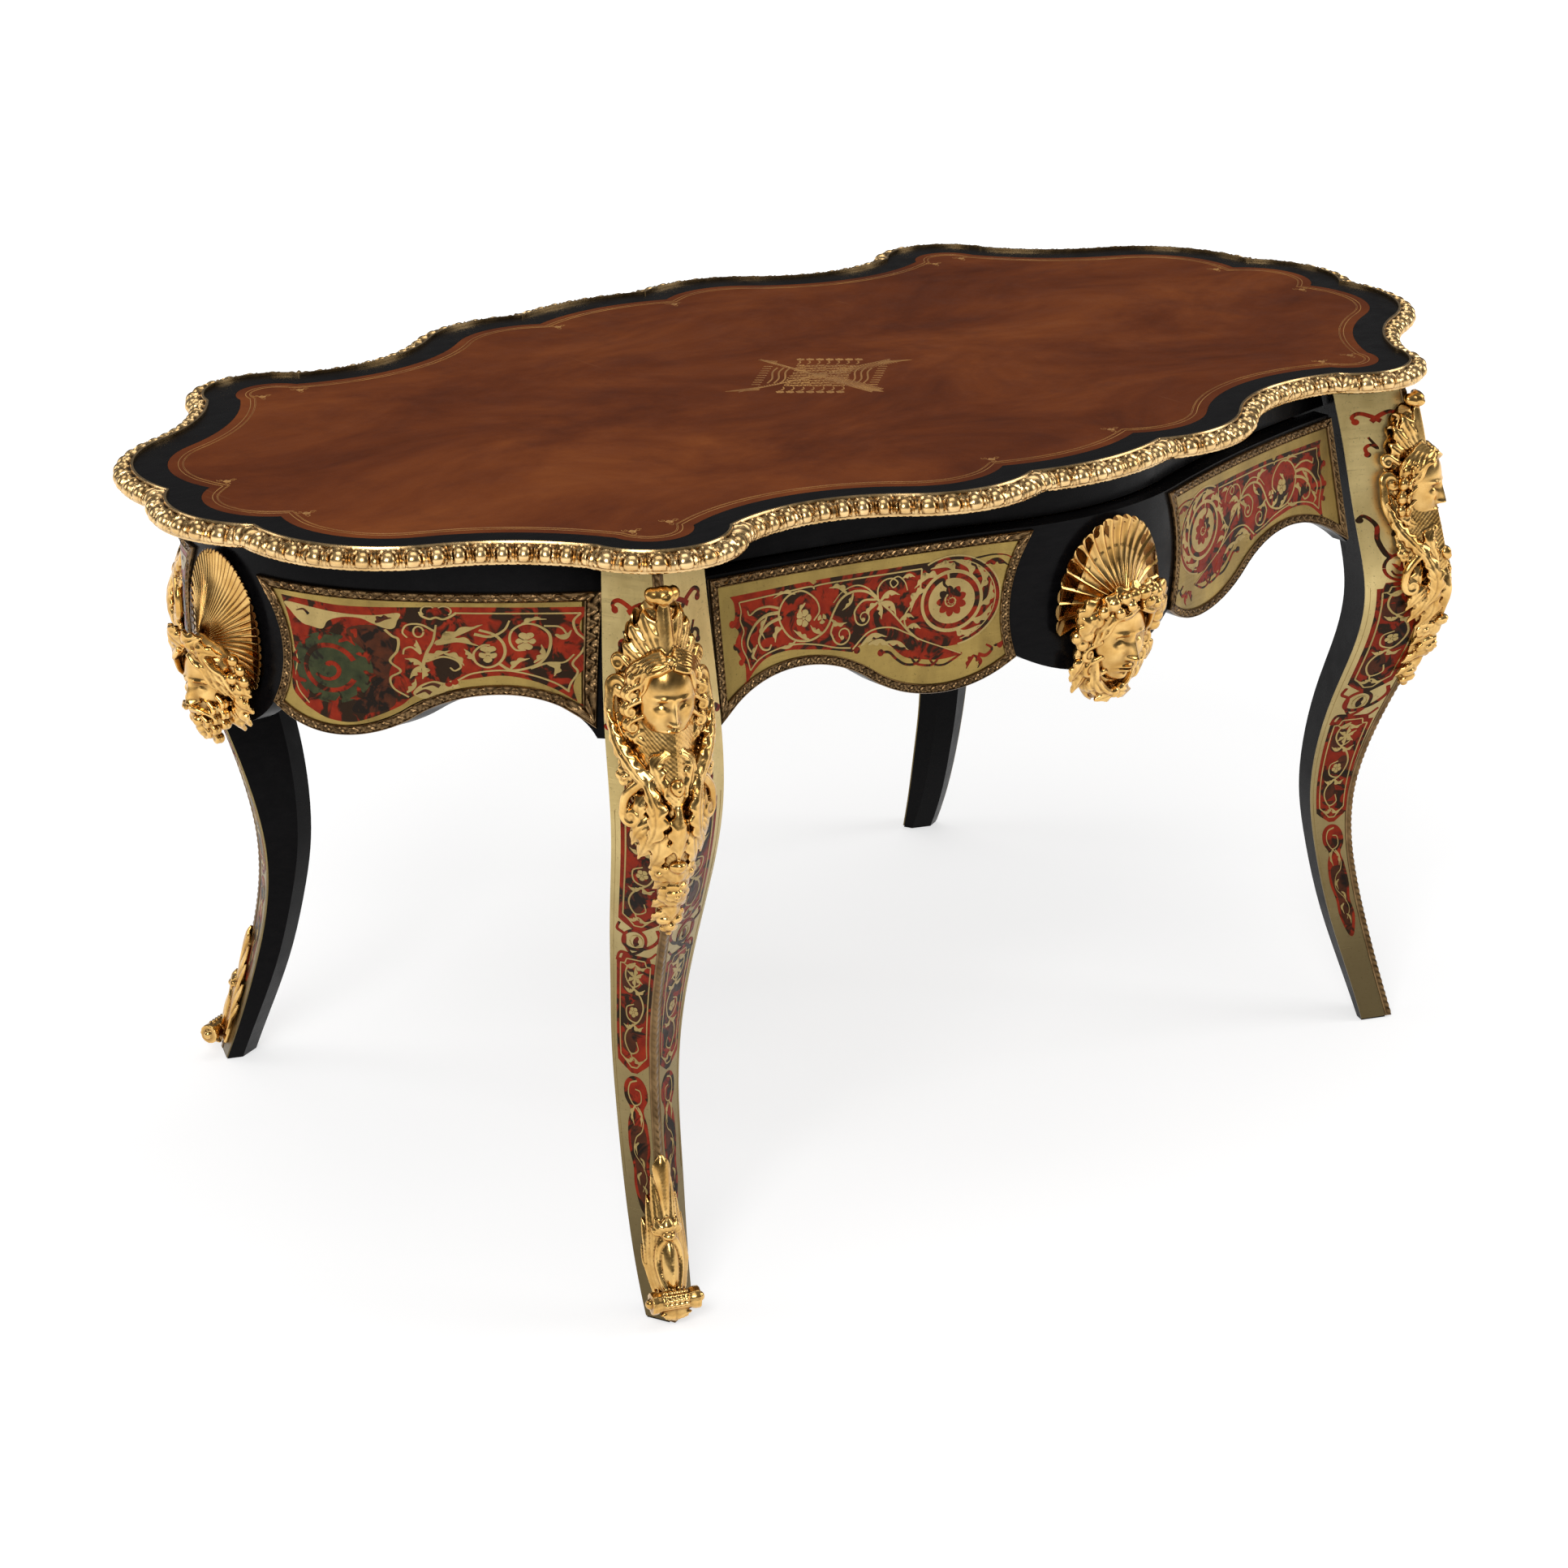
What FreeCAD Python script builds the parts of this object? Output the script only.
import FreeCAD, Part
import math
import os
from collections import namedtuple

# Bureau plat: a flat writing table with a shaped leather top, four cabriole legs, one long drawer
# in front, brass and shell marquetry in bronze frames, and bronze masks and corner mounts.
# Millimetres. +Z is up, X runs along the table, the drawer side faces -Y, and the origin is on the
# floor under the middle of the top.

V = FreeCAD.Vector
Bend = namedtuple("Bend", "centre radius bulge")
Side = namedtuple("Side", "apex joint leg_edge setback")
Panel = namedtuple("Panel", "inner_top waist inner_bottom lobe arch end_bottom block_drop")
Mask = namedtuple("Mask", "fan_half fan_foot fan_top head_middle head_height head_radius head_reach lock")

# Overall sizes
HALF_LENGTH = 775.0            # middle to the end of the wooden top
HALF_DEPTH = 414.0             # middle to the front of the wooden top
TOP_HEIGHT = 759.0             # floor to the leather
TOP_THICKNESS = 20.0
LEATHER_MARGIN = 32.0          # black border round the leather
LEATHER_THICKNESS = 1.5
CLEARANCE = 0.2                # glue line between fixed pieces with curved faces

# Outline of the top. Along the front: distance from the middle, and distance in from the front.
FRONT_BOW_HALF = 88.0
FRONT_BOW_RISE = 15.0
FRONT_SHOULDER = (140.0, 3.0)
FRONT_SHOULDER_END = (228.0, 34.0)
# Along the end: distance from the middle, and distance in from the end.
END_BOW_HALF = 72.0
END_BOW_RISE = 30.0
END_SHOULDER = (150.0, 40.0)
END_SHOULDER_END = (222.0, 115.0)
# Round the corner: distances in from the end and from the front.
LOBE_START = (357.0, 67.0)
LOBE_TIP = (288.0, 40.0)
LOBE_END = (227.0, 98.0)

# Gilt edge moulding
MOULDING_WIDTH = 21.0          # how far it stands out
MOULDING_HEIGHT = 18.5
MOULDING_LIP = 3.0             # lip above the leather
MOULDING_LIP_WIDTH = 2.5
MOULDING_SWELL = 3.5           # roundness of its face
MOULDING_FOOT_INSET = 6.0

# Legs. Stations up the leg: share of its height, reach of the arris past the middle of the foot,
# width of the long-side face and width of the end face.
LEG_INSET_LENGTH = 254.5
LEG_INSET_DEPTH = 35.0
SPLAY_ANGLE = 24.0             # of the leg's curve, from the Y axis towards the X axis
FACE_ANGLE = 23.0              # of the leg's faces, from the sides of the table
LEG_CHAMFER = 18.0
LEG_STATIONS = [
    (0.000, 20.0, 37.0, 31.0),
    (0.066, 2.5, 37.5, 37.5),
    (0.168, -22.0, 42.0, 42.0),
    (0.276, -41.0, 45.0, 44.5),
    (0.357, -43.0, 52.5, 47.5),
    (0.432, -31.5, 62.5, 51.0),
    (0.540, -0.5, 77.0, 59.5),
    (0.621, 25.5, 85.0, 65.0),
    (0.696, 38.0, 91.0, 68.0),
    (0.804, 24.0, 93.0, 69.0),
    (0.939, -6.0, 86.0, 62.0),
    (1.000, -20.0, 85.0, 58.0),
]
ARRIS_STRIP = 7.0
VENEER = 1.5
VENEER_FOOT = 2.0              # veneers and strips stop this far above the floor

# Friezes. Their plan is a middle arc and tangent arcs that end at the legs. Joints of the arcs are given as
# distance from the middle and distance in from the edge of the top, and heights as drops below the top.
BOARD = 20.0
LONG_APEX_INSET = 9.0
LONG_JOINT = (110.0, 27.5)
SHORT_APEX_INSET = 38.0
SHORT_JOINT = (165.0, 101.5)
LONG_SETBACK = 24.0            # behind the edge of the leg's face
SHORT_SETBACK = 33.0
LEG_OVERRUN = 14.0             # run of the board past the leg's edge before the leg cuts it
FRIEZE_DEPTH = 215.0

# Frieze panels: places along the side from its middle, with drops. The lobe and the arch of the lower edge are
# placed by their share of the way to the panel's leg end.
PANEL_TOP = 31.5
LONG_PANEL = Panel(92.0, (115.0, 96.0), (107.0, 157.0), (0.4118, 182.5), (0.7849, 128.5), 165.0, 30.0)
SHORT_PANEL = Panel(49.0, (79.0, 97.0), (65.0, 151.0), (0.4077, 173.0), (0.7960, 126.5), 164.0, 36.0)
SHORT_PANEL_GAPS = (21.0, 33.0)  # short of the leg's edge, at the top and at the bottom
BORDER_WIDTH = 9.0
BORDER_THICKNESS = 6.0

# Drawer: one wide drawer, standing a little open
DRAWER_TOP = 29.0              # drop of the top edge of its front
DRAWER_SIDE_TOP = 39.0         # drop of the top edge of its sides
DRAWER_BASE = 121.0            # drop of the underside of its sides
DRAWER_AJAR = 18.0
DRAWER_LEG_GAP = 7.0
DRAWER_SIDE = 12.0
DRAWER_GROOVE = 4.0            # bottom board into each side
DRAWER_BOTTOM_BOARD = 8.0
DRAWER_BOTTOM_RISE = 8.0       # underside of the bottom board above the underside of the sides
RUN_GAP = 0.5                  # between the drawer and what guides it
RUNNER_WIDTH = 24.0
RUNNER_HEIGHT = 16.0
GUIDE_THICKNESS = 12.0
GUIDE_END_GAP = 155.0          # ends of the guides, behind the middle of the long friezes
STOP_LENGTH = 18.5
STOP_HEIGHT = 26.0
RAIL_GAP = 3.0                 # between the drawer front and the rail over it

# Blocks and screws under the top
BLOCK_LENGTH = 60.0
BLOCK_HEIGHT = 22.0
BLOCK_REACH = 44.0             # from the inside of the frieze
BLOCK_PLACE = 40.0             # near end of a back block, from the middle
SCREW_SHANK = 4.0
SCREW_HEAD = 8.0
SCREW_HEAD_HEIGHT = 3.0
SCREW_BITE = 12.0              # into the top

# Masks on the middle blocks: a shell fan over a head with locks of hair, with drops
LONG_MASK = Mask(65.0, 105.0, 36.0, 162.0, 116.0, 40.0, 14.0, 19.0)
SHORT_MASK = Mask(54.0, 95.0, 21.0, 145.0, 106.0, 36.0, 10.0, 17.0)
FAN_DEPTH = 9.0
FAN_FLUTES = 13
FLUTE_SWELL = 0.3              # share of a flute's width
LOCKS = 7
LOCK_SPREAD = 1.15             # share of the head's radius
LOCK_RISE = 0.42               # share of the head's height
CHIN = 0.55                    # radius of a chin, as a share of the head's radius

# Corner mounts over the knees: drop, spread on each face and thickness over the arris
MOUNT_STATIONS = [
    (341.0, 9.0, 4.0),
    (305.0, 20.0, 8.0),
    (265.0, 30.0, 9.0),
    (225.0, 34.0, 9.0),
    (185.0, 46.0, 7.0),
    (125.0, 50.0, 7.0),
    (65.0, 40.0, 8.0),
    (30.0, 22.0, 8.0),
    (11.0, 10.0, 6.0),
]
MOUNT_EDGE = 3.0
SADDLE_SINK = 2.0              # how deep castings are drawn into the leg before the leg cuts them
MOUNT_HEAD_MIDDLE = 123.0
MOUNT_HEAD_HEIGHT = 84.0
MOUNT_HEAD_RADIUS = 29.0
MOUNT_HEAD_REACH = -15.0       # middle of the head past the arris
SCROLL_DROP = 130.0
SCROLL_THICKNESS = 8.0
FRONT_SCROLL = (50.0, 30.0)    # distance from the arris, and radius
END_SCROLL = (36.0, 25.0)

# Sabots: leaf shoes on the two left feet, as height, spread on each face and thickness
SABOT_STATIONS = [
    (5.0, 26.0, 8.0),
    (50.0, 24.0, 9.0),
    (100.0, 20.0, 9.0),
    (140.0, 12.0, 8.0),
    (158.0, 4.0, 6.0),
]
SABOT_EDGE = 2.5
SABOT_SCROLL_HEIGHT = 27.0
SABOT_SCROLL_RADIUS = 16.0
SABOT_SCROLL_WIDTH = 52.0
SABOT_SCROLL_REACH = 12.0

# Worked-out places
TOP_UNDERSIDE = TOP_HEIGHT - TOP_THICKNESS
FOOT = V(HALF_LENGTH - LEG_INSET_LENGTH, HALF_DEPTH - LEG_INSET_DEPTH, 0)
SPLAY = math.radians(SPLAY_ANGLE)
SPLAY_RUN = V(math.sin(SPLAY), math.cos(SPLAY), 0)
FACE_TURN = math.radians(FACE_ANGLE)
ALONG_FRONT = V(-math.cos(FACE_TURN), -math.sin(FACE_TURN), 0)
ALONG_END = V(math.sin(FACE_TURN), -math.cos(FACE_TURN), 0)
OUTWARD = ((ALONG_FRONT + ALONG_END) * -1).normalize()
LONG_APEX = HALF_DEPTH - LONG_APEX_INSET
SHORT_APEX = HALF_LENGTH - SHORT_APEX_INSET
GUIDE_HALF_LENGTH = LONG_APEX - GUIDE_END_GAP
DRAWER_REAR = STOP_LENGTH + RUN_GAP - GUIDE_HALF_LENGTH
HUGE = 2.0 * (HALF_LENGTH + HALF_DEPTH)
X, Y, Z = V(1, 0, 0), V(0, 1, 0), V(0, 0, 1)


def below(drop):
    """Height of a place given as a drop below the underside of the top."""
    return TOP_UNDERSIDE - drop


# Arcs in plan

def bend_through(start, via, end):
    """Circle through three points, with bulge 1 where it swells to the left of its run."""
    circle = Part.Circle(start, via, end)
    bulge = 1 if (end - start).cross(via - start).z > 0 else -1
    return Bend(circle.Center, circle.Radius, bulge)


def bend_after(bend, joint, end):
    """Circle that leaves another one smoothly at a joint and runs to a point."""
    normal = (joint - bend.centre).normalize()
    gap = joint - end
    reach = -gap.dot(gap) / (2 * normal.dot(gap))
    bulge = bend.bulge if reach < 0 else -bend.bulge
    return Bend(joint + normal * reach, abs(reach), bulge)


def moved_out(bend, point, offset):
    """A point of a bend after the bend is moved sideways by an offset."""
    return bend.centre + (point - bend.centre).normalize() * (bend.radius + bend.bulge * offset)


def cusp_of(first, second, near, offset):
    """Meeting point of two bends after both are moved sideways, nearest to a given point."""
    r1 = first.radius + first.bulge * offset
    r2 = second.radius + second.bulge * offset
    line = second.centre - first.centre
    span = line.Length
    along = (span * span + r1 * r1 - r2 * r2) / (2 * span)
    rise = math.sqrt(r1 * r1 - along * along)
    base = first.centre + line * (along / span)
    across = V(-line.y, line.x, 0) * (rise / span)
    return min((base + across, base - across), key=lambda point: (point - near).Length)


def arc_on(bend, start, end):
    """Shorter arc of a bend's circle from one point to another."""
    radius = (start - bend.centre).Length
    via = bend.centre + ((start + end) * 0.5 - bend.centre).normalize() * radius
    return Part.Arc(start, via, end).toShape()


def arc_leaving(start, tangent, end):
    """Arc that leaves a point along a direction and ends at another point, in the XZ plane."""
    normal = V(-tangent.z, 0, tangent.x)
    chord = end - start
    radius = chord.dot(chord) / (2 * chord.dot(normal))
    centre = start + normal * radius
    via = centre + ((start + end) * 0.5 - centre).normalize() * abs(radius)
    return Part.Arc(start, via, end).toShape()


def mirrored_point(point):
    """Reflection of a point to the other end of the table."""
    return V(-point.x, point.y, point.z)


def mirrored(shape, *normals):
    """Copy of a shape reflected in planes through the origin."""
    for normal in normals:
        shape = shape.mirror(V(0, 0, 0), normal)
    return shape


# Outline of the top

def quadrant_bends():
    """Bends and joints of the top's edge, from the middle of the front to the end of the table."""
    bow = V(FRONT_BOW_HALF, HALF_DEPTH - FRONT_BOW_RISE, 0)
    shoulder = V(FRONT_SHOULDER[0], HALF_DEPTH - FRONT_SHOULDER[1], 0)
    shoulder_end = V(FRONT_SHOULDER_END[0], HALF_DEPTH - FRONT_SHOULDER_END[1], 0)
    lobe = [V(HALF_LENGTH - x, HALF_DEPTH - y, 0) for x, y in (LOBE_START, LOBE_TIP, LOBE_END)]
    end_bow = V(HALF_LENGTH - END_BOW_RISE, END_BOW_HALF, 0)
    end_shoulder = V(HALF_LENGTH - END_SHOULDER[1], END_SHOULDER[0], 0)
    end_shoulder_end = V(HALF_LENGTH - END_SHOULDER_END[1], END_SHOULDER_END[0], 0)
    front_bow = bend_through(V(-bow.x, bow.y, 0), V(0, HALF_DEPTH, 0), bow)
    front = bend_through(bow, shoulder, shoulder_end)
    front_hollow = bend_after(front, shoulder_end, lobe[0])
    corner = bend_through(*lobe)
    end = bend_through(end_shoulder_end, end_shoulder, end_bow)
    end_hollow = bend_after(end, end_shoulder_end, lobe[2])
    tip = bend_through(end_bow, V(HALF_LENGTH, 0, 0), V(end_bow.x, -end_bow.y, 0))
    bends = [front_bow, front, front_hollow, corner, end_hollow, end, tip]
    joints = [bow, shoulder_end, lobe[0], lobe[2], end_shoulder_end, end_bow]
    return bends, joints


BENDS, JOINTS = quadrant_bends()
SMOOTH_JOINTS = (1, 4)


def outline_joints(offset):
    """Joints of the first quadrant's outline after moving it outward by an offset."""
    joints = []
    for index, joint in enumerate(JOINTS):
        if index in SMOOTH_JOINTS:
            joints.append(moved_out(BENDS[index], joint, offset))
        else:
            joints.append(cusp_of(BENDS[index], BENDS[index + 1], joint, offset))
    return joints


def outline_face(offset):
    """Level face inside the top's outline moved outward by an offset, at height zero."""
    joints = outline_joints(offset)
    quarter = [arc_on(BENDS[i + 1], joints[i], joints[i + 1]) for i in range(len(joints) - 1)]
    front_bow = arc_on(BENDS[0], V(-joints[0].x, joints[0].y, 0), joints[0])
    tip = arc_on(BENDS[-1], joints[-1], V(joints[-1].x, -joints[-1].y, 0))
    edges = [front_bow, mirrored(front_bow, Y), tip, mirrored(tip, X)]
    for flips in ((), (X,), (Y,), (X, Y)):
        edges += [mirrored(edge, *flips) for edge in quarter]
    return Part.Face(Part.Wire(Part.__sortEdges__(edges)))


def slab(face, bottom, top):
    """Upright solid on a level face drawn at height zero."""
    placed = face.copy()
    placed.translate(V(0, 0, bottom))
    return placed.extrude(V(0, 0, top - bottom))


def make_top(screw_holes):
    """Wooden top with its screw holes and the recess for the leather, and the leather."""
    floor = TOP_HEIGHT - LEATHER_THICKNESS
    recess = slab(outline_face(-LEATHER_MARGIN), floor, TOP_HEIGHT + LEATHER_THICKNESS)
    panel = slab(outline_face(0), TOP_UNDERSIDE, TOP_HEIGHT).cut(recess).cut(screw_holes)
    leather = slab(outline_face(-LEATHER_MARGIN - CLEARANCE), floor, TOP_HEIGHT)
    return {"top_panel": panel, "leather_inset": leather}


# Gilt edge moulding

def moulding_profile(origin, outward):
    """Section of the edge moulding, upright in the plane of its outward direction."""
    top = TOP_HEIGHT + MOULDING_LIP
    bottom = top - MOULDING_HEIGHT
    points = [
        (0, top),
        (MOULDING_LIP_WIDTH, top),
        (MOULDING_LIP_WIDTH, top - MOULDING_LIP_WIDTH),
        (MOULDING_WIDTH - MOULDING_LIP_WIDTH, (top + bottom) / 2),
        (MOULDING_WIDTH, bottom + MOULDING_LIP),
        (MOULDING_WIDTH - MOULDING_FOOT_INSET, bottom),
        (0, bottom),
    ]
    corners = [V(origin.x, origin.y, height) + outward * out for out, height in points]
    edges = [Part.makeLine(a, b) for a, b in zip(corners, corners[1:] + corners[:1])]
    chord = corners[3] - corners[2]
    normal = (outward * -chord.z + Z * chord.dot(outward)).normalize()
    swell = (corners[2] + corners[3]) * 0.5 + normal * MOULDING_SWELL
    edges[2] = Part.Arc(corners[2], swell, corners[3]).toShape()
    return Part.Wire(edges)


def moulding_run(first, last):
    """Moulding along the smooth bends from one joint to another, with its ends still square."""
    edges = [arc_on(BENDS[i + 1], JOINTS[i], JOINTS[i + 1]) for i in range(first, last)]
    bend = BENDS[first + 1]
    outward = (JOINTS[first] - bend.centre).normalize() * bend.bulge
    return Part.Wire(edges).makePipeShell([moulding_profile(JOINTS[first], outward)], True, True)


def bow_run(bend, start, end):
    """Moulding along one of the bows that cross a middle line."""
    outward = (start - bend.centre).normalize()
    return Part.Wire([arc_on(bend, start, end)]).makePipeShell([moulding_profile(start, outward)], True, True)


def beyond(inner, outer, keep):
    """Large block past the upright mitre plane through two points, on the far side from a point to keep."""
    line = (outer - inner).normalize()
    away = V(-line.y, line.x, 0)
    if away.dot(keep - inner) > 0:
        away = away * -1
    start = inner - line * HUGE
    base = [start, start + line * (2 * HUGE), start + line * (2 * HUGE) + away * HUGE, start + away * HUGE]
    return slab(Part.Face(Part.makePolygon(base + base[:1])), 0, 2 * TOP_HEIGHT)


def mitred(run, cusps, keep):
    """A run of moulding cut back to the mitres at its two cusps."""
    outer = outline_joints(MOULDING_WIDTH)
    for index, flip in cusps:
        inner_point = V(JOINTS[index].x * flip.x, JOINTS[index].y * flip.y, 0)
        outer_point = V(outer[index].x * flip.x, outer[index].y * flip.y, 0)
        run = run.cut(beyond(inner_point, outer_point, keep))
    return run


def make_moulding():
    """Moulding round the top in mitred lengths, grouped by side."""
    plain = V(1, 1, 0)
    shoulder = mitred(moulding_run(0, 2), ((0, plain), (2, plain)), JOINTS[1])
    corner = mitred(moulding_run(2, 3), ((2, plain), (3, plain)), FOOT)
    end_shoulder = mitred(moulding_run(3, 5), ((3, plain), (5, plain)), JOINTS[4])
    bow = bow_run(BENDS[0], V(-JOINTS[0].x, JOINTS[0].y, 0), JOINTS[0])
    bow = mitred(bow, ((0, plain), (0, V(-1, 1, 0))), V(0, HALF_DEPTH, 0))
    tip = bow_run(BENDS[-1], JOINTS[-1], V(JOINTS[-1].x, -JOINTS[-1].y, 0))
    tip = mitred(tip, ((5, plain), (5, V(1, -1, 0))), V(HALF_LENGTH, 0, 0))
    back = [shoulder, bow, mirrored(shoulder, X)]
    right = [end_shoulder, tip, mirrored(end_shoulder, Y)]
    corners = [corner, mirrored(corner, X), mirrored(corner, Y), mirrored(corner, X, Y)]
    return {
        "edge_moulding_back": Part.makeCompound(back),
        "edge_moulding_front": Part.makeCompound([mirrored(run, Y) for run in back]),
        "edge_moulding_right": Part.makeCompound(right),
        "edge_moulding_left": Part.makeCompound([mirrored(run, X) for run in right]),
        "edge_moulding_corners": Part.makeCompound(corners),
    }


# Legs, all drawn for the back right corner and reflected to the others

def smooth_path(points):
    """Smooth curve through points, with height as its parameter."""
    curve = Part.BSplineCurve()
    curve.interpolate(Points=points, Parameters=[point.z for point in points])
    return curve


STATIONS = [(row[0] * TOP_UNDERSIDE, row[1:]) for row in LEG_STATIONS]
LEG_SHAPE = [smooth_path([V(sizes[k], 0, height) for height, sizes in STATIONS]) for k in range(3)]


def leg_sizes(height):
    """Reach of the arris and the widths of the two outer faces at a height."""
    return [curve.value(height).x for curve in LEG_SHAPE]


def leg_point(height, front, end):
    """Point of the leg at distances from the arris, along the long-side face and along the end face."""
    reach = leg_sizes(height)[0]
    place = FOOT + SPLAY_RUN * reach + ALONG_FRONT * front + ALONG_END * end
    return V(place.x, place.y, height)


def front_edge(height):
    """Inner edge of the leg's long-side face."""
    return leg_point(height, leg_sizes(height)[1], 0)


def end_edge(height):
    """Inner edge of the leg's end face."""
    return leg_point(height, 0, leg_sizes(height)[2])


def column(heights, section):
    """Solid through sections: section(height) lists the corners at that height, in the same order."""
    rows = [section(height) for height in heights]
    curves = [smooth_path(list(points)).toShape() for points in zip(*rows)]
    faces = [Part.makeRuledSurface(a, b) for a, b in zip(curves, curves[1:] + curves[:1])]
    faces += [Part.Face(Part.makePolygon(row + row[:1])) for row in (rows[0], rows[-1])]
    shell = Part.makeShell(faces)
    shell.sewShape()
    solid = Part.makeSolid(shell)
    return solid if solid.Volume > 0 else solid.reversed()


def leg_column(section, foot=0.0):
    """Column up the leg, from a section in distances along the two faces."""
    def corners(height):
        reach, front, end = leg_sizes(height)
        return [leg_point(height, u, v) for u, v in section(front, end)]
    return column([foot] + [height for height, sizes in STATIONS[1:]], corners)


def make_leg():
    """Ebonised core, the two marquetry veneers and the bronze strip on the arris."""
    b, t, g, c = ARRIS_STRIP, VENEER, CLEARANCE, LEG_CHAMFER
    core = leg_column(lambda f, e: [
        (b + g, b + g), (b + g, t + g), (f, t + g), (f, e - c), (f - c, e), (t + g, e), (t + g, b + g)])
    front_veneer = leg_column(lambda f, e: [(b + g, 0), (f, 0), (f, t), (b + g, t)], VENEER_FOOT)
    end_veneer = leg_column(lambda f, e: [(0, b + g), (t, b + g), (t, e), (0, e)], VENEER_FOOT)
    strip = leg_column(lambda f, e: [(0, 0), (b, 0), (b, b), (0, b)], VENEER_FOOT)
    return core, Part.makeCompound([front_veneer, end_veneer]), strip


def leg_envelope(margin):
    """The whole leg as one solid, swollen by a margin, to cut what meets it."""
    m, c = margin, LEG_CHAMFER
    return leg_column(lambda f, e: [
        (-m, -m), (f + m, -m), (f + m, e - c), (f - c, e + m), (-m, e + m)])


def saddle(stations, edge):
    """Casting folded over the arris, from rows of height, spread on each face and thickness."""
    rows = {row[0]: row[1:] for row in stations}
    s = SADDLE_SINK

    def corners(height):
        spread, thick = rows[height]
        section = [(s, s), (spread, s), (spread, -edge), (-thick, -thick), (-edge, spread), (s, spread)]
        return [leg_point(height, u, v) for u, v in section]
    return column(list(rows), corners)


def make_head(centre, radius, height):
    """Head turned about an upright axis: a round crown narrowing straight to a smaller round chin."""
    chin = radius * CHIN
    crown_up, chin_up = height / 2 - radius, chin - height / 2
    lean = (radius - chin) / (crown_up - chin_up)
    upright = math.sqrt(1 - lean * lean)
    slant = V(upright, 0, -lean)
    top, bottom = V(0, 0, height / 2), V(0, 0, -height / 2)
    crown_end = V(0, 0, crown_up) + slant * radius
    chin_start = V(0, 0, chin_up) + slant * chin
    crown_side = V(0, 0, crown_up) + (slant + Z).normalize() * radius
    chin_side = V(0, 0, chin_up) + (slant - Z).normalize() * chin
    edges = [
        Part.Arc(top, crown_side, crown_end).toShape(),
        Part.makeLine(crown_end, chin_start),
        Part.Arc(chin_start, chin_side, bottom).toShape(),
        Part.makeLine(bottom, top),
    ]
    head = Part.Face(Part.Wire(edges)).revolve(V(0, 0, 0), Z, 360)
    head.translate(centre)
    return head


def make_corner_mount(leg):
    """Bronze mount over the knee: saddle with crest and drop, a head, and a scroll on each face."""
    head_place = leg_point(below(MOUNT_HEAD_MIDDLE), 0, 0) + OUTWARD * MOUNT_HEAD_REACH
    height = below(SCROLL_DROP)
    front_start = leg_point(height, FRONT_SCROLL[0], -SCROLL_THICKNESS)
    end_start = leg_point(height, -SCROLL_THICKNESS, END_SCROLL[0])
    pieces = [
        make_head(head_place, MOUNT_HEAD_RADIUS, MOUNT_HEAD_HEIGHT),
        Part.makeCylinder(FRONT_SCROLL[1], 2 * SCROLL_THICKNESS, front_start, ALONG_END),
        Part.makeCylinder(END_SCROLL[1], 2 * SCROLL_THICKNESS, end_start, ALONG_FRONT),
    ]
    rows = [(below(drop), spread, thick) for drop, spread, thick in MOUNT_STATIONS]
    return biggest(saddle(rows, MOUNT_EDGE).fuse(pieces).cut(leg))


def make_sabot(leg):
    """Leaf shoe on the toe, with a rolled scroll across its front."""
    middle = leg_point(SABOT_SCROLL_HEIGHT, 0, 0) + OUTWARD * SABOT_SCROLL_REACH
    across = V(-OUTWARD.y, OUTWARD.x, 0)
    start = middle - across * (SABOT_SCROLL_WIDTH / 2)
    scroll = Part.makeCylinder(SABOT_SCROLL_RADIUS, SABOT_SCROLL_WIDTH, start, across)
    return biggest(saddle(SABOT_STATIONS, SABOT_EDGE).fuse(scroll).cut(leg))


def biggest(shape):
    """Largest solid of a shape, without slivers left by a cut."""
    return max(shape.Solids, key=lambda solid: solid.Volume)


# Friezes, drawn for the back (long) and then turned for the right (short), out along +Y

def turned(point):
    """Place on the right side seen in the drawing frame of a short side: along is Y, out is X."""
    return V(point.y, point.x, point.z)


def short_edge(height):
    """Inner edge of the leg as a short side meets it, in that side's drawing frame."""
    return turned(end_edge(height))


LONG_SIDE = Side(LONG_APEX, V(LONG_JOINT[0], HALF_DEPTH - LONG_JOINT[1], 0), front_edge, LONG_SETBACK)
SHORT_SIDE = Side(SHORT_APEX, V(SHORT_JOINT[0], HALF_LENGTH - SHORT_JOINT[1], 0), short_edge, SHORT_SETBACK)


def middle_bend(side):
    """Middle arc of a frieze's plan."""
    return bend_through(mirrored_point(side.joint), V(0, side.apex, 0), side.joint)


def frieze_arcs(side, height, offset):
    """Plan arcs of a frieze at a height, from one leg to the other, moved outward by an offset."""
    edge = side.leg_edge(height)
    edge.z = 0
    run = (edge - side.joint).normalize()
    end = edge + run * LEG_OVERRUN - V(-run.y, run.x, 0) * side.setback
    middle = middle_bend(side)
    wing = bend_after(middle, side.joint, end)
    joint, end = moved_out(middle, side.joint, offset), moved_out(wing, end, offset)
    right = arc_on(wing, joint, end)
    arcs = [mirrored(right, X), arc_on(middle, mirrored_point(joint), joint), right]
    for arc in arcs:
        arc.translate(V(0, 0, height))
    return arcs


def outer_ends(arcs):
    """Corner points of a run of arcs at its left and right ends."""
    points = [vertex.Point for arc in arcs for vertex in arc.Vertexes]
    return min(points, key=lambda p: p.x), max(points, key=lambda p: p.x)


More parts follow.
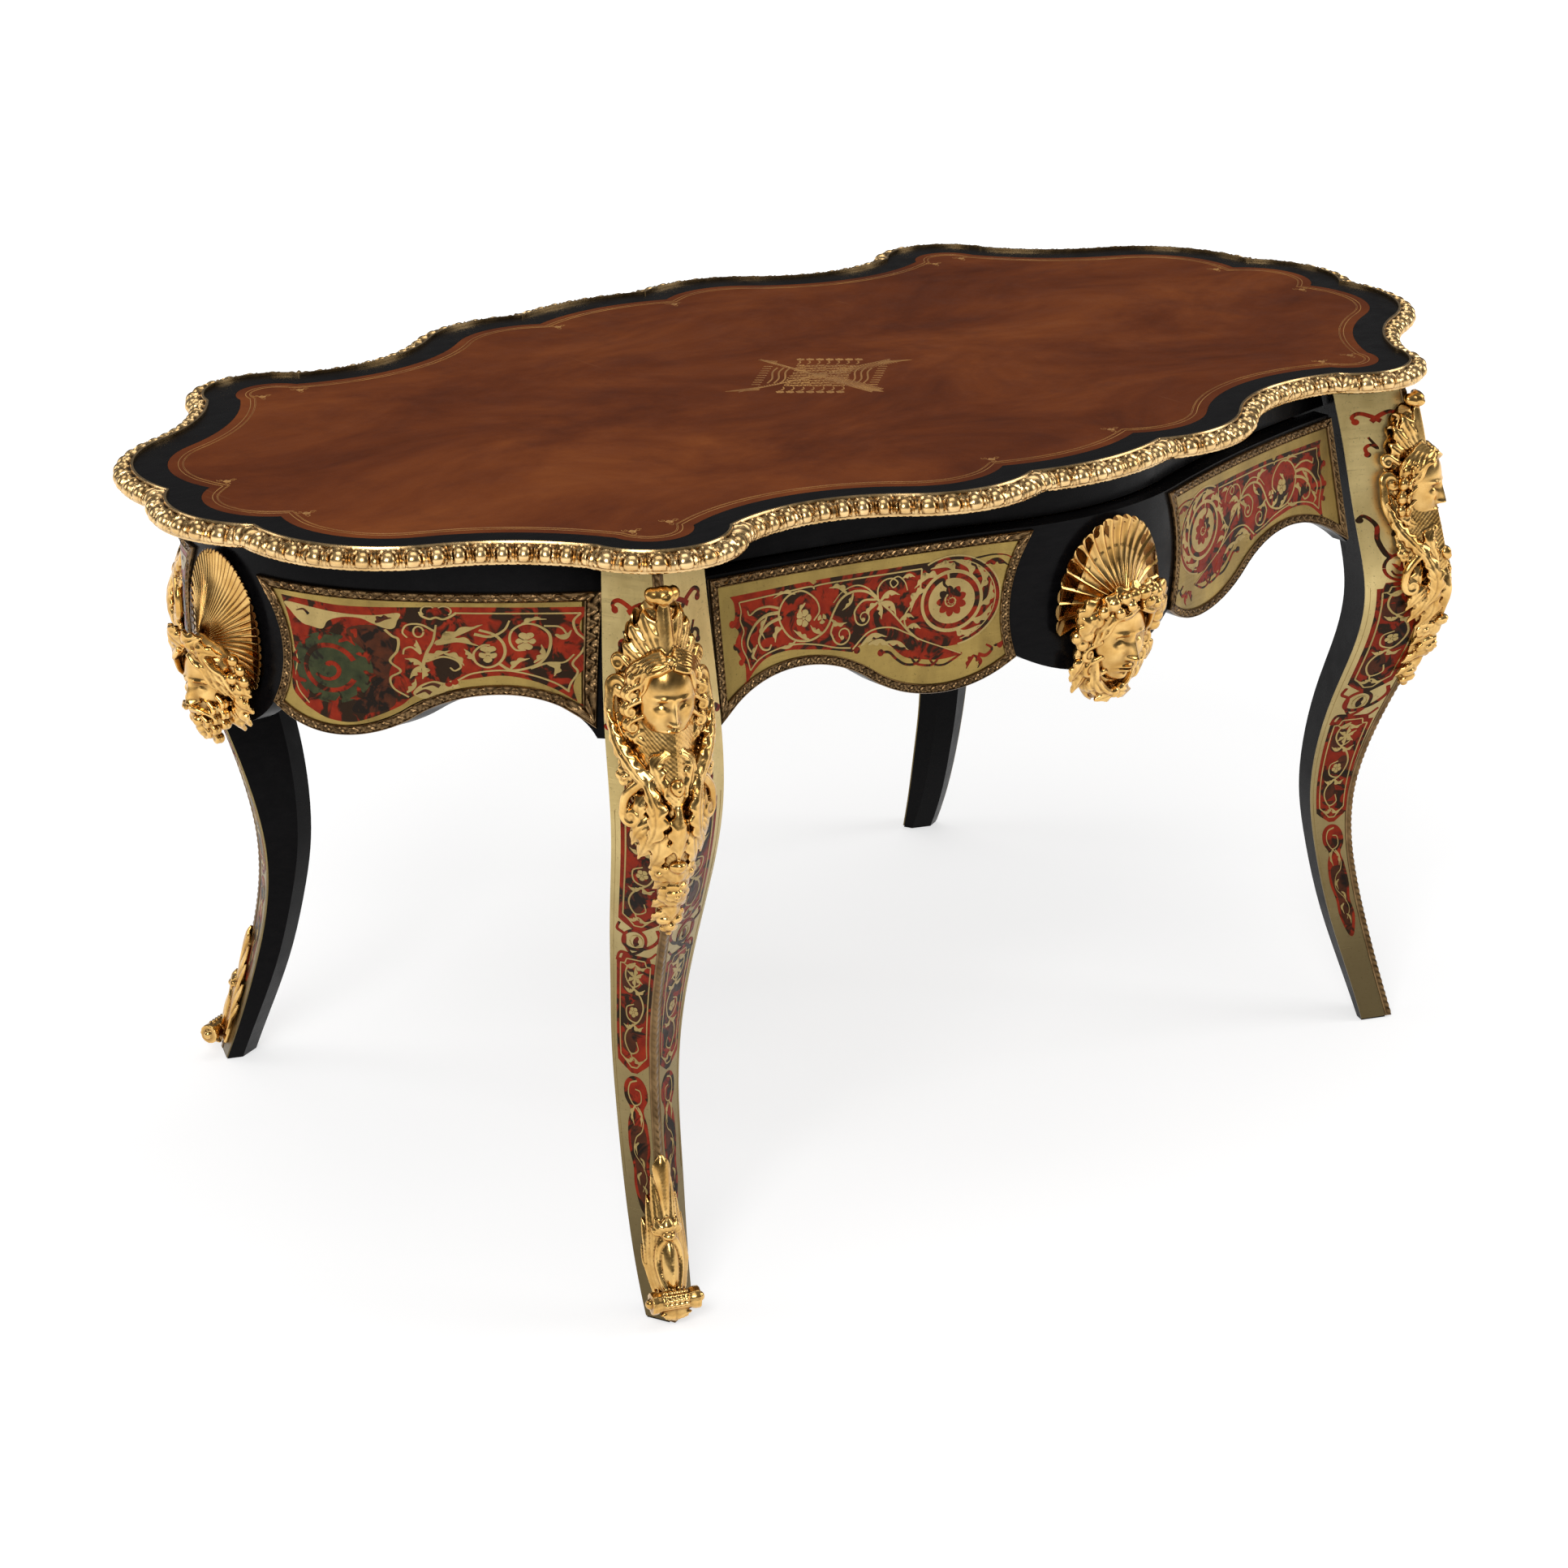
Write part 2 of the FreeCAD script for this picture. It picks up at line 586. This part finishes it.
def frieze_skin(side, inner, outer):
    """Solid between two offsets of a frieze's face, flared from its top to its bottom."""
    top, bottom = TOP_UNDERSIDE, below(FRIEZE_DEPTH)
    levels = {}
    for height in (top, bottom):
        for offset in (inner, outer):
            levels[height, offset] = frieze_arcs(side, height, offset)
    faces = []
    for offset in (inner, outer):
        pairs = zip(levels[top, offset], levels[bottom, offset])
        faces += [Part.makeRuledSurface(upper, lower) for upper, lower in pairs]
    for height in (top, bottom):
        ends = zip(outer_ends(levels[height, inner]), outer_ends(levels[height, outer]))
        edges = levels[height, inner] + levels[height, outer] + [Part.makeLine(a, b) for a, b in ends]
        faces.append(Part.Face(Part.Wire(Part.__sortEdges__(edges))))
    for index in (0, 1):
        lines = []
        for height in (top, bottom):
            lines.append(Part.makeLine(outer_ends(levels[height, inner])[index],
                                       outer_ends(levels[height, outer])[index]))
        faces.append(Part.makeRuledSurface(*lines))
    shell = Part.makeShell(faces)
    shell.sewShape()
    solid = Part.makeSolid(shell)
    return solid if solid.Volume > 0 else solid.reversed()


def through(wire):
    """Solid of a flat outline in the XZ plane, run outward through the frieze."""
    return Part.Face(wire).extrude(V(0, HUGE, 0))


def spot(place):
    """Point in the XZ plane from a distance along a side and a drop."""
    along, drop = place
    return V(along, 0, below(drop))


def lower_edge(panel, end):
    """Lower edge of a panel from its leg end to its corner by the middle block."""
    start = spot((end, panel.end_bottom))
    arch, lobe = [spot((share * end, drop)) for share, drop in (panel.arch, panel.lobe)]
    middle = (arch + lobe) * 0.5
    return [
        arc_leaving(arch, X, start),
        arc_leaving(arch, X * -1, middle),
        arc_leaving(lobe, X, middle),
        arc_leaving(lobe, X * -1, spot(panel.inner_bottom)),
    ]


def panel_wire(panel, end_top, end_bottom):
    """Outline of a panel right of the middle, with its ogee foot and its hollow side by the block."""
    inner_top = spot((panel.inner_top, PANEL_TOP))
    outer_top = spot((end_top, PANEL_TOP))
    edges = lower_edge(panel, end_bottom)
    edges.append(Part.Arc(spot(panel.inner_bottom), spot(panel.waist), inner_top).toShape())
    edges.append(Part.makeLine(inner_top, outer_top))
    edges.append(Part.makeLine(outer_top, spot((end_bottom, panel.end_bottom))))
    return Part.Wire(Part.__sortEdges__(edges))


def board_wire(panel, top, end_top, end_bottom, foot):
    """Outline of a whole frieze board: level top, shaped foot and a drop under the middle block."""
    half = lower_edge(panel, foot)
    corner = spot(panel.inner_bottom)
    dip = Part.Arc(mirrored_point(corner), V(0, 0, corner.z - panel.block_drop), corner).toShape()
    edges = half + [mirrored(edge, X) for edge in half] + [dip]
    points = [spot((foot, panel.end_bottom)), spot((end_bottom, panel.end_bottom)), V(end_top, 0, top)]
    points += [mirrored_point(point) for point in reversed(points)]
    for a, b in zip(points, points[1:]):
        if (b - a).Length > CLEARANCE:
            edges.append(Part.makeLine(a, b))
    return Part.Wire(Part.__sortEdges__(edges))


def make_panel(side, panel, end_top, end_bottom):
    """Marquetry plate and bronze frame of the panel right of the middle."""
    wire = panel_wire(panel, end_top, end_bottom)
    inside = wire.makeOffset2D(-BORDER_WIDTH)
    plate_wire = wire.makeOffset2D(-BORDER_WIDTH - CLEARANCE)
    ring = through(wire).cut(through(inside))
    border = ring.common(frieze_skin(side, CLEARANCE, CLEARANCE + BORDER_THICKNESS))
    plate = through(plate_wire).common(frieze_skin(side, CLEARANCE, CLEARANCE + VENEER))
    return biggest(plate), biggest(border)


def fan_outline(half_width, height, flutes):
    """Scalloped edge of a shell fan over a level foot, in the XZ plane."""
    angles = [math.pi * i / flutes for i in range(flutes + 1)]
    rim = [V(half_width * math.cos(a), 0, height * math.sin(a)) for a in angles]
    edges = []
    for a, b in zip(rim, rim[1:]):
        outward = ((a + b) * 0.5).normalize()
        swell = (a + b) * 0.5 + outward * ((b - a).Length * FLUTE_SWELL)
        edges.append(Part.Arc(a, swell, b).toShape())
    edges.append(Part.makeLine(rim[-1], rim[0]))
    return Part.Wire(edges)


def make_mask(side, mask):
    """Bronze mask on a middle block: fluted shell fan, head and locks of hair, cut to the block's face."""
    outline = fan_outline(mask.fan_half, mask.fan_foot - mask.fan_top, FAN_FLUTES)
    fan = Part.Face(outline).extrude(V(0, 2 * FAN_DEPTH, 0))
    fan.translate(V(0, side.apex - FAN_DEPTH, below(mask.fan_foot)))
    middle = V(0, side.apex, below(mask.head_middle))
    body = make_head(middle + Y * mask.head_reach, mask.head_radius, mask.head_height).fuse(fan)
    for step in range(LOCKS):
        angle = math.pi * (step - 1) / (LOCKS - 2)
        across = mask.head_radius * LOCK_SPREAD * math.cos(angle)
        up = mask.head_height * LOCK_RISE * math.sin(angle)
        body = body.fuse(Part.makeSphere(mask.lock, middle + V(across, mask.head_reach / 2, up)))
    block = middle_bend(side)
    return biggest(body.cut(Part.makeCylinder(block.radius + CLEARANCE, TOP_HEIGHT, block.centre, Z)))


# Drawer, drawn closed with its front out along +Y and then turned to the front of the table

def drawer_half(drop):
    """Half the width of the drawer front at a drop."""
    return front_edge(below(drop)).x - DRAWER_LEG_GAP


def box_between(low, high):
    """Box from its lowest to its highest corner."""
    size = V(*high) - V(*low)
    return Part.makeBox(size.x, size.y, size.z, V(*low))


def both_hands(shape):
    """A shape and its reflection to the other end of the table, as one group."""
    return Part.makeCompound([shape, mirrored(shape, X)])


def drawer_side_face():
    """Distance of the outside of the drawer's sides from the middle."""
    return drawer_half(DRAWER_TOP) - DRAWER_LEG_GAP


def make_drawer():
    """Front, sides, back and bottom of the drawer when closed, with its front out along +Y."""
    half, foot = drawer_half(DRAWER_TOP), drawer_half(LONG_PANEL.end_bottom)
    outer = drawer_side_face()
    inner = outer - DRAWER_SIDE
    rear = DRAWER_REAR
    side_top, base = below(DRAWER_SIDE_TOP), below(DRAWER_BASE)
    outline = board_wire(LONG_PANEL, below(DRAWER_TOP), half, foot, foot)
    front = biggest(through(outline).common(frieze_skin(LONG_SIDE, -BOARD, 0)))
    front_mass = frieze_skin(LONG_SIDE, -BOARD, BOARD)
    bottom_low = base + DRAWER_BOTTOM_RISE
    bottom_high = bottom_low + DRAWER_BOTTOM_BOARD
    groove = inner + DRAWER_GROOVE
    bottom = box_between((-groove, rear, bottom_low), (groove, LONG_APEX, bottom_high)).cut(front_mass)
    side = box_between((inner, rear, base), (outer, LONG_APEX, side_top))
    side = biggest(side.cut(front_mass).cut(bottom))
    back = box_between((-inner, rear, bottom_high), (inner, rear + DRAWER_SIDE, side_top - DRAWER_SIDE))
    return {
        "drawer_front": front,
        "drawer_side_right": side,
        "drawer_side_left": mirrored(side, X),
        "drawer_back": back,
        "drawer_bottom": biggest(bottom),
    }


def make_drawer_ways():
    """Runners, guides, kickers and stops that carry and limit the drawer, with its front out along +Y."""
    wall = drawer_side_face() + RUN_GAP
    runner_top = below(DRAWER_BASE) - RUN_GAP
    runner_low = runner_top - RUNNER_HEIGHT
    ledge = wall - RUNNER_WIDTH
    reach = GUIDE_HALF_LENGTH
    guide = box_between((wall, -reach, runner_low), (wall + GUIDE_THICKNESS, reach, TOP_UNDERSIDE))
    runner = box_between((ledge, -reach, runner_low), (wall, reach, runner_top))
    kicker = box_between((ledge, -reach, below(DRAWER_SIDE_TOP) + RUN_GAP), (wall, reach, TOP_UNDERSIDE))
    stop = box_between((ledge, -reach, runner_top), (wall, STOP_LENGTH - reach, runner_top + STOP_HEIGHT))
    return {
        "drawer_guides": both_hands(guide),
        "drawer_runners": both_hands(runner),
        "drawer_kickers": both_hands(kicker),
        "drawer_stops": both_hands(stop),
    }


# Blocks and screws under the top

def screw(foot, margin):
    """Screw standing on its head at a place, or the hole for it when a margin is added."""
    head = Part.makeCylinder(SCREW_HEAD / 2 + margin, SCREW_HEAD_HEIGHT, foot)
    shank = Part.makeCylinder(SCREW_SHANK / 2 + margin, BLOCK_HEIGHT + SCREW_BITE + margin, foot)
    return head.fuse(shank).removeSplitter()


def board_inside(side, along):
    """How far out the inside of a frieze board is, at a distance from the middle on its middle arc."""
    bend = middle_bend(side)
    return bend.centre.y + math.sqrt((bend.radius - BOARD) ** 2 - along ** 2)


def make_blocks(friezes):
    """Glue blocks in the angle of the top and the friezes, screws up through them, and the screw holes."""
    low = below(BLOCK_HEIGHT)
    blocks, screws, holes = [], [], []
    for side, near, placed in ((LONG_SIDE, BLOCK_PLACE, Part.Shape.copy),
                               (SHORT_SIDE, -BLOCK_LENGTH / 2, to_right_end)):
        far = near + BLOCK_LENGTH
        seat = board_inside(side, far)
        foot = V((near + far) / 2, seat - BLOCK_REACH / 2, low)
        block = placed(box_between((near, seat - BLOCK_REACH, low), (far, side.apex, TOP_UNDERSIDE)))
        hole = placed(screw(foot, CLEARANCE))
        bored = biggest(block.cut(friezes)).cut(hole)
        for group, shape in ((blocks, bored), (screws, placed(screw(foot, 0))), (holes, hole)):
            group += [shape, mirrored(shape, X)]
    nodes = {"glue_blocks": Part.makeCompound(blocks), "block_screws": Part.makeCompound(screws)}
    return nodes, Part.makeCompound(holes)


# The four corners and four sides of the table

CORNERS = {
    "back_right": (),
    "back_left": (X,),
    "front_right": (Y,),
    "front_left": (X, Y),
}
SHOD_CORNERS = ("front_left", "back_left")


def make_corners(envelope):
    """Legs with their veneers, arris strips, corner mounts and sabots."""
    core, veneers, strip = make_leg()
    mount = make_corner_mount(envelope)
    sabot = make_sabot(envelope)
    nodes = {}
    for corner, flips in CORNERS.items():
        nodes["leg_" + corner] = mirrored(core, *flips)
        nodes["leg_marquetry_" + corner] = mirrored(veneers, *flips)
        nodes["arris_strip_" + corner] = mirrored(strip, *flips)
        nodes["corner_mount_" + corner] = mirrored(mount, *flips)
        if corner in SHOD_CORNERS:
            nodes["sabot_" + corner] = mirrored(sabot, *flips)
    return nodes


def make_long_sides(legs):
    """Back frieze, rail over the drawer, and the marquetry, frames and masks of the two long sides."""
    end_top, end_bottom = drawer_half(DRAWER_TOP), drawer_half(LONG_PANEL.end_bottom)
    reach = FOOT.x
    board = board_wire(LONG_PANEL, TOP_UNDERSIDE, reach, reach, end_bottom)
    skin = frieze_skin(LONG_SIDE, -BOARD, 0)
    frieze = biggest(through(board).common(skin).cut(legs))
    rail_low = below(DRAWER_TOP) + RAIL_GAP
    rail = box_between((-reach, 0, rail_low), (reach, HUGE, TOP_UNDERSIDE)).common(skin)
    plate, border = make_panel(LONG_SIDE, LONG_PANEL, end_top, end_bottom)
    mask = make_mask(LONG_SIDE, LONG_MASK)
    nodes = {
        "frieze_back": frieze,
        "front_rail": mirrored(biggest(rail.cut(legs)), Y),
        "marquetry_back_right": plate,
        "marquetry_back_left": mirrored(plate, X),
        "border_back_right": border,
        "border_back_left": mirrored(border, X),
        "mask_back": mask,
    }
    drawer = make_drawer()
    drawer["marquetry_drawer_right"] = plate
    drawer["marquetry_drawer_left"] = mirrored(plate, X)
    drawer["border_drawer_right"] = border
    drawer["border_drawer_left"] = mirrored(border, X)
    drawer["mask_drawer"] = mask
    for name, shape in drawer.items():
        nodes[name] = mirrored(shape, Y)
        nodes[name].translate(Y * -DRAWER_AJAR)
    for name, shape in make_drawer_ways().items():
        nodes[name] = mirrored(shape, Y)
    return nodes


def make_short_sides(legs):
    """End friezes with their marquetry, frames and masks."""
    end_top = short_edge(below(PANEL_TOP)).x - SHORT_PANEL_GAPS[0]
    end_bottom = short_edge(below(SHORT_PANEL.end_bottom)).x - SHORT_PANEL_GAPS[1]
    board = board_wire(SHORT_PANEL, TOP_UNDERSIDE, FOOT.y, FOOT.y, end_bottom)
    frieze = through(board).common(frieze_skin(SHORT_SIDE, -BOARD, 0))
    plate, border = make_panel(SHORT_SIDE, SHORT_PANEL, end_top, end_bottom)
    frieze = biggest(to_right_end(frieze).cut(legs))
    mask = to_right_end(make_mask(SHORT_SIDE, SHORT_MASK))
    nodes = {
        "frieze_right": frieze,
        "frieze_left": mirrored(frieze, X),
        "mask_right": mask,
        "mask_left": mirrored(mask, X),
    }
    for name, shape in (("marquetry", to_right_end(plate)), ("border", to_right_end(border))):
        nodes[name + "_right_front"] = shape
        nodes[name + "_right_back"] = mirrored(shape, Y)
        nodes[name + "_left_front"] = mirrored(shape, X)
        nodes[name + "_left_back"] = mirrored(shape, X, Y)
    return nodes


def to_right_end(shape):
    """A short side's drawing, out along +Y, turned to face +X."""
    turned_shape = shape.copy()
    turned_shape.rotate(V(0, 0, 0), Z, -90)
    return turned_shape


def make_all():
    """Every node of the table by name."""
    envelope = leg_envelope(CLEARANCE)
    legs = Part.makeCompound([mirrored(envelope, *flips) for flips in CORNERS.values()])
    nodes = make_corners(envelope)
    nodes.update(make_long_sides(legs))
    nodes.update(make_short_sides(legs))
    friezes = Part.makeCompound([nodes["frieze_back"], nodes["frieze_left"], nodes["frieze_right"]])
    blocks, screw_holes = make_blocks(friezes)
    nodes.update(blocks)
    nodes.update(make_top(screw_holes))
    nodes.update(make_moulding())
    return nodes


os.makedirs("parts", exist_ok=True)
for node_name, node_shape in make_all().items():
    node_shape.exportStep(os.path.join("parts", node_name + ".step"))
